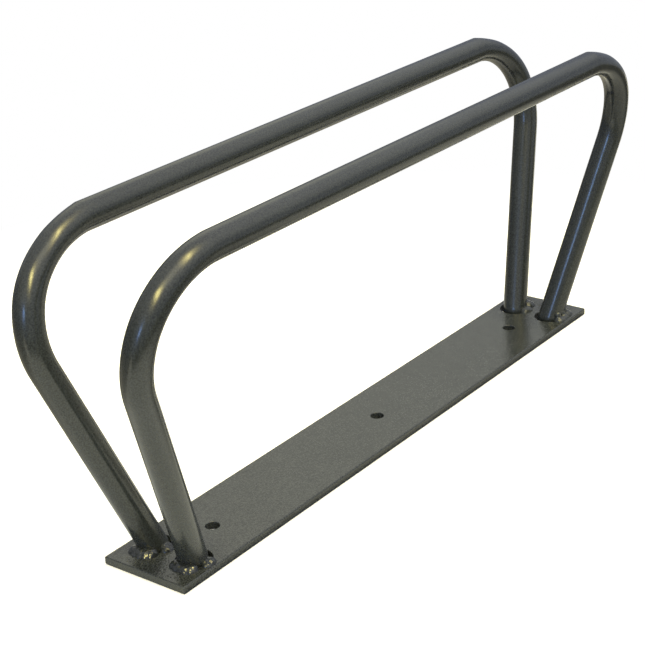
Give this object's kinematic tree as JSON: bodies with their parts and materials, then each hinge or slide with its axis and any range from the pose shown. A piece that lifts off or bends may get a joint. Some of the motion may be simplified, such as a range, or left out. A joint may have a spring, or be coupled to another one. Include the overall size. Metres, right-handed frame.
{
  "type": "bike rack",
  "caption": "Bike rack for a wall or floor: two bent tube hoops lean apart from a drilled flat base plate and hold a wheel between them.",
  "frame": {"origin": "centre of the base plate's mounting face, the face that lies on the wall or floor", "axes": "+X along the plate and the hoops, +Y across the plate to the back hoop, +Z away from the mounting face to the top bars"},
  "size_m": [0.52, 0.1072, 0.206],
  "materials": {
    "plate": "glossy graphite grey enamel on flat steel bar",
    "hoops": "glossy graphite grey enamel on bent steel tube",
    "welds": "glossy graphite grey enamel over weld beads"
  },
  "bodies": {
    "root": {"base_plate": "plate", "front_hoop": "hoops", "back_hoop": "hoops", "weld_front_left_end": "welds", "weld_front_left_side": "welds", "weld_front_right_end": "welds", "weld_front_right_side": "welds", "weld_back_left_end": "welds", "weld_back_left_side": "welds", "weld_back_right_end": "welds", "weld_back_right_side": "welds"}
  },
  "joints": []
}
